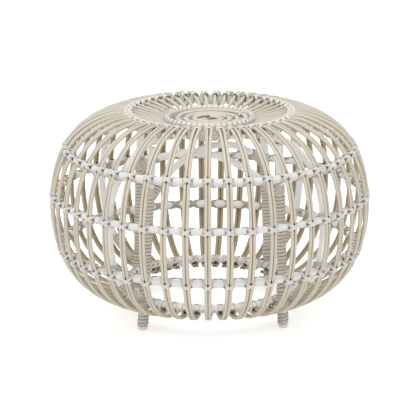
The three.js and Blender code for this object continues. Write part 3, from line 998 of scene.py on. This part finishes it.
print("leg frames done")

glide = {
    "face": 6.6, "shoulder": 8.1, "edge": 1.6, "stem": 4.6, "stemLength": 13, "steps": 32,
    "round": 0.7,
    "corner": 0.5,  # edges that bend more than this many radians are rounded
}


def footGlide(leg):
    bm = newShape()
    height = legPiece["glideHeight"]
    outline = [
        (0, 0), (glide["face"], 0), (glide["shoulder"], glide["edge"]),
        (glide["shoulder"], height), (glide["stem"], height),
        (glide["stem"], height + glide["stemLength"]), (0, height + glide["stemLength"]),
    ]
    corners = [bm.verts.new((r, 0, z)) for r, z in outline]
    edges = [bm.edges.new(pair) for pair in zip(corners, corners[1:])]
    bmesh.ops.spin(
        bm, geom=[*corners, *edges], cent=(0, 0, 0), axis=(0, 0, 1),
        angle=2 * math.pi, steps=glide["steps"], use_merge=True,
    )
    bmesh.ops.remove_doubles(bm, verts=bm.verts[:], dist=weld)
    inner = [e for e in bm.edges if len(e.link_faces) == 2]
    rims = [e for e in inner if e.calc_face_angle(0) > glide["corner"]]
    bmesh.ops.bevel(
        bm, geom=rims, offset=glide["round"], segments=3, affect="EDGES", profile=0.5,
        material=-1,
    )
    ground = legPoint(leg, 0)
    lean = legPoint(leg, 1) - ground
    leaning = Matrix((
        (1, 0, lean.x, ground.x), (0, 1, lean.y, ground.y), (0, 0, 1, 0), (0, 0, 0, 1),
    ))
    bmesh.ops.transform(bm, matrix=leaning, verts=bm.verts[:])
    return bm


for leg in legs:
    finishPiece("glide_" + leg, footGlide(leg), [glideFinish], "glide", "foot_glide_" + leg)
print("glides done")

studio = {
    "floorSize": 14.0,
    "floorColour": "#F4F4F3",
    "floorGlow": 0.12,  # light from below, as from a lit table
    "floorLift": 0.3,  # what the camera sees on top of that, so that the floor reads white
    "sky": 0.96,
    "keySize": 2.6,
    "keyPower": 44.0,
    "keyPlace": (-0.3, -0.6, 3.3),
    "frontSize": 2.4,
    "frontPower": 5.0,
    "frontPlace": (0.4, -3.6, 0.8),
    "aim": (0, 0, 0.18),
}

bm = bmesh.new()
bmesh.ops.create_grid(bm, x_segments=1, y_segments=1, size=studio["floorSize"] / 2)
floorMesh = bpy.data.meshes.new("floor")
bm.to_mesh(floorMesh)
bm.free()
floor = bpy.data.objects.new("floor", floorMesh)
bpy.context.scene.collection.objects.link(floor)


# What the camera sees directly, in a mirror or through glass, as 1
def directSight(tree):
    path = addNode(tree, "LightPath", {}).outputs
    seen = addNode(tree, "Math", larger, path["Is Camera Ray"], path["Is Glossy Ray"])
    return addNode(tree, "Math", larger, seen, path["Is Transmission Ray"])


# Painted studio floor: matt white, and lifted to white where the camera looks at it
floorFinish, tree, shader = newFinish(
    "white studio floor", Roughness=0.9, Base_Color=linear(studio["floorColour"]),
)
lift = addNode(
    tree, "Math", {"operation": "MULTIPLY_ADD"}, directSight(tree), studio["floorLift"],
    studio["floorGlow"],
)
glow = addNode(tree, "Emission", {}, Strength=lift.outputs[0])
both = addNode(tree, "AddShader", {}, shader, glow)
surface = next(n for n in tree.nodes if n.type == "OUTPUT_MATERIAL").inputs["Surface"]
tree.links.new(both.outputs[0], surface)
floorMesh.materials.append(floorFinish)

# World: soft grey light, plain white behind the object
world = bpy.data.worlds.new("studio")
world.use_nodes = True
bpy.context.scene.world = world
tree = world.node_tree
tree.nodes.clear()
soft = addNode(tree, "Background", {}, (1, 1, 1, 1), studio["sky"])
plain = addNode(tree, "Background", {}, (1, 1, 1, 1), 1.0)
addNode(tree, "OutputWorld", {}, addNode(tree, "MixShader", {}, directSight(tree), soft, plain))


def areaLight(name, spot, size, power):
    lamp = bpy.data.lights.new(name, "AREA")
    lamp.shape = "DISK"
    lamp.size = size
    lamp.energy = power
    holder = bpy.data.objects.new(name, lamp)
    holder.location = spot
    towards = Vector(studio["aim"]) - Vector(spot)
    holder.rotation_euler = towards.to_track_quat("-Z", "Y").to_euler()
    bpy.context.scene.collection.objects.link(holder)


areaLight("key", studio["keyPlace"], studio["keySize"], studio["keyPower"])
areaLight("front fill", studio["frontPlace"], studio["frontSize"], studio["frontPower"])

# Camera: fitted to the pairs' places and the outline in the photograph, a frame of 420 pixels
view = {
    "distance": 3.65, "elevation": 0.2651, "azimuth": 0.0108, "target": (0, 0, 0.178),
    "frame": 420, "focal": 2098, "middle": 209.6,  # in pixels
    "sensor": 36,
}
eye = bpy.data.cameras.new("photograph")
eye.sensor_width = view["sensor"]
eye.lens = view["sensor"] * view["focal"] / view["frame"]
eye.shift_x = 0.5 - view["middle"] / view["frame"]
eye.clip_end = 50
cameraObject = bpy.data.objects.new("photograph", eye)
flat = view["distance"] * math.cos(view["elevation"])
cameraObject.location = Vector(view["target"]) + Vector((
    flat * math.sin(view["azimuth"]), -flat * math.cos(view["azimuth"]),
    view["distance"] * math.sin(view["elevation"]),
))
towards = Vector(view["target"]) - cameraObject.location
cameraObject.rotation_euler = towards.to_track_quat("-Z", "Y").to_euler()
bpy.context.scene.collection.objects.link(cameraObject)
bpy.context.scene.camera = cameraObject
bpy.context.scene.view_settings.view_transform = "Standard"
print("studio done")
